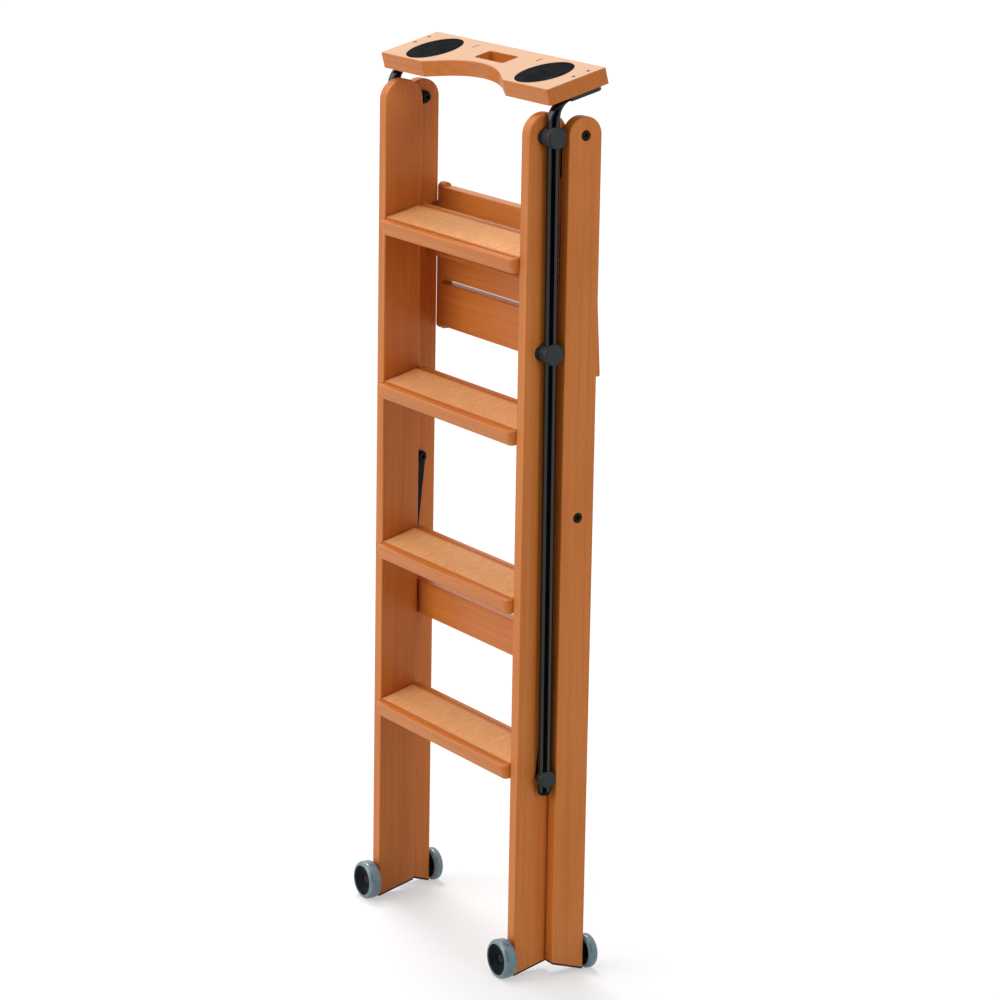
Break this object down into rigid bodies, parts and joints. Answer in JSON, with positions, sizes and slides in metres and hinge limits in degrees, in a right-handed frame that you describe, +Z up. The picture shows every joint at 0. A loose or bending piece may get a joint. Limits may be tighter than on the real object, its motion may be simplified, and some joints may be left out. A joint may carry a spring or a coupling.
{
  "type": "folding step ladder",
  "caption": "Folding wooden step ladder with stippled treads, a hinged rear leg frame, a fold-down slatted platform, a sliding handrail with a tool tray, and transport wheels.",
  "frame": {"origin": "middle of the folded ladder's footprint, at floor level", "axes": "+X along the treads to the right of someone facing them, +Y from the treads to the rear legs, +Z up; the ladder stands folded"},
  "size_m": [0.476, 0.1466, 1.2892],
  "materials": {
    "varnished_beech": "satin varnish",
    "stippled_grip": "matte stippled varnish",
    "dowel_wood": "plain",
    "black_enamel_tube": "gloss",
    "blackened_steel": "satin",
    "bright_steel": "satin",
    "slate_nylon": "satin",
    "black_nylon": "satin",
    "tray_pad_rubber": "matte",
    "foot_rubber": "matte",
    "blue_grey_tyre": "satin"
  },
  "bodies": {
    "front_frame": {"stile_left": "varnished_beech", "stile_right": "varnished_beech", "tread_1": "varnished_beech", "tread_grip_1": "stippled_grip", "tread_2": "varnished_beech", "tread_grip_2": "stippled_grip", "tread_3": "varnished_beech", "tread_grip_3": "stippled_grip", "tread_4": "varnished_beech", "tread_grip_4": "stippled_grip", "tread_dowels": "dowel_wood", "foot_pad_front_left": "foot_rubber", "guide_upper_left": "slate_nylon", "guide_lower_left": "slate_nylon", "hinge_plate_left": "blackened_steel", "platform_carrier_left": "bright_steel", "foot_pad_front_right": "foot_rubber", "guide_upper_right": "slate_nylon", "guide_lower_right": "slate_nylon", "hinge_plate_right": "blackened_steel", "platform_carrier_right": "bright_steel", "plate_screws": "bright_steel", "pivot_bolts": "blackened_steel", "front_axles": "blackened_steel"},
    "rear_frame": {"rear_leg_left": "varnished_beech", "foot_pad_rear_left": "foot_rubber", "rear_leg_right": "varnished_beech", "foot_pad_rear_right": "foot_rubber", "cross_rail": "varnished_beech", "tie_rod": "varnished_beech", "stay_bolts": "blackened_steel", "rear_axles": "blackened_steel"},
    "platform": {"platform_slat_1": "varnished_beech", "platform_slat_2": "varnished_beech", "platform_slat_3": "varnished_beech", "platform_cheek_left": "varnished_beech", "platform_cheek_right": "varnished_beech", "platform_dowels": "dowel_wood", "platform_catches": "bright_steel"},
    "handrail": {"handrail_tube_left": "black_enamel_tube", "tube_plug_left": "black_nylon", "knob_left": "slate_nylon", "tray_pad_left": "tray_pad_rubber", "handrail_tube_right": "black_enamel_tube", "tube_plug_right": "black_nylon", "knob_right": "slate_nylon", "tray_pad_right": "tray_pad_rubber", "tray": "varnished_beech", "tray_screws": "blackened_steel"},
    "stay_left_arm": {"stay_left": "blackened_steel"},
    "stay_right_arm": {"stay_right": "blackened_steel"},
    "wheel_front_left": {"tyre_front_left": "blue_grey_tyre", "hub_front_left": "black_nylon"},
    "wheel_front_right": {"tyre_front_right": "blue_grey_tyre", "hub_front_right": "black_nylon"},
    "wheel_rear_left": {"tyre_rear_left": "blue_grey_tyre", "hub_rear_left": "black_nylon"},
    "wheel_rear_right": {"tyre_rear_right": "blue_grey_tyre", "hub_rear_right": "black_nylon"}
  },
  "joints": [
    {"name": "leg_fold", "type": "hinge", "parent": "front_frame", "child": "rear_frame", "pos_m": [0, 0.02666, 1.199], "axis": [1, 0, 0], "range_deg": [0, 32]},
    {"name": "platform_fold", "type": "hinge", "parent": "front_frame", "child": "platform", "pos_m": [0, 0.05666, 1.0405], "axis": [1, 0, 0], "range_deg": [0, 105.05]},
    {"name": "handrail_lift", "type": "slide", "parent": "front_frame", "child": "handrail", "axis": [0, -0.007, 1], "range_m": [0, 0.261]},
    {"name": "stay_left_swing", "type": "hinge", "parent": "rear_frame", "child": "stay_left_arm", "pos_m": [-0.2013, 0.02666, 0.668], "axis": [1, 0, 0], "range_deg": [-85.15, 0]},
    {"name": "stay_right_swing", "type": "hinge", "parent": "rear_frame", "child": "stay_right_arm", "pos_m": [0.2013, 0.02666, 0.668], "axis": [1, 0, 0], "range_deg": [-85.15, 0]},
    {"name": "wheel_front_left_spin", "type": "hinge", "parent": "front_frame", "child": "wheel_front_left", "pos_m": [-0.19, -0.06334, 0.0285], "axis": [0, 1, 0], "continuous": true},
    {"name": "wheel_front_right_spin", "type": "hinge", "parent": "front_frame", "child": "wheel_front_right", "pos_m": [0.19, -0.06334, 0.0285], "axis": [0, 1, 0], "continuous": true},
    {"name": "wheel_rear_left_spin", "type": "hinge", "parent": "rear_frame", "child": "wheel_rear_left", "pos_m": [-0.213, 0.06266, 0.025], "axis": [0, 1, 0], "continuous": true},
    {"name": "wheel_rear_right_spin", "type": "hinge", "parent": "rear_frame", "child": "wheel_rear_right", "pos_m": [0.213, 0.06266, 0.025], "axis": [0, 1, 0], "continuous": true}
  ],
  "couplings": [
    {"joint": "platform_fold", "follows": "leg_fold", "ratio": 3.2812},
    {"joint": "handrail_lift", "follows": "leg_fold", "m_per_rad": 0.46706},
    {"joint": "stay_left_swing", "follows": "leg_fold", "ratio": -2.6593},
    {"joint": "stay_right_swing", "follows": "leg_fold", "ratio": -2.6593}
  ]
}
